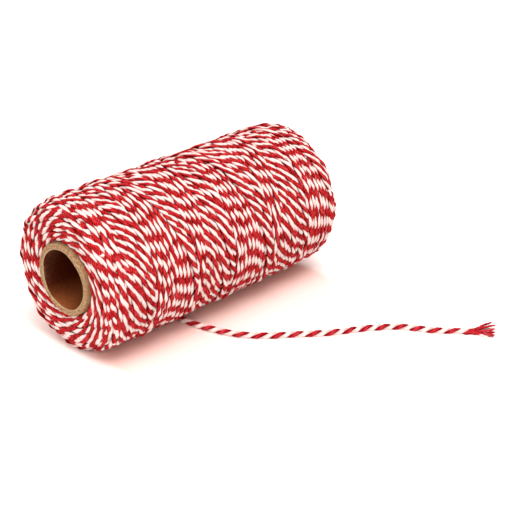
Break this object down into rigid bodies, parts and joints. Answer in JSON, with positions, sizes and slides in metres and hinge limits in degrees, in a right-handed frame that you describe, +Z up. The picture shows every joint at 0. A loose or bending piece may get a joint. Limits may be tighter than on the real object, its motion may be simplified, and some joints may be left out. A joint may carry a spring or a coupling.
{
  "type": "roll of cotton macrame cord",
  "caption": "Twisted two-ply cotton cord cross-wound in a roll on an open paper tube, lying on its side with one loose frayed end.",
  "frame": {"origin": "on the surface that the roll lies on, under the middle of the roll", "axes": "+X along the roll's axis, +Z up, and the loose end comes out on the -Y side"},
  "size_m": [0.1047, 0.1137, 0.0497],
  "materials": {
    "cotton_cord": "matt red and white cotton",
    "kraft_tube": "matt brown kraft board"
  },
  "bodies": {
    "root": {"winding": "cotton_cord", "core_tube": "kraft_tube", "loose_cord": "cotton_cord", "frayed_end": "cotton_cord"}
  },
  "joints": []
}
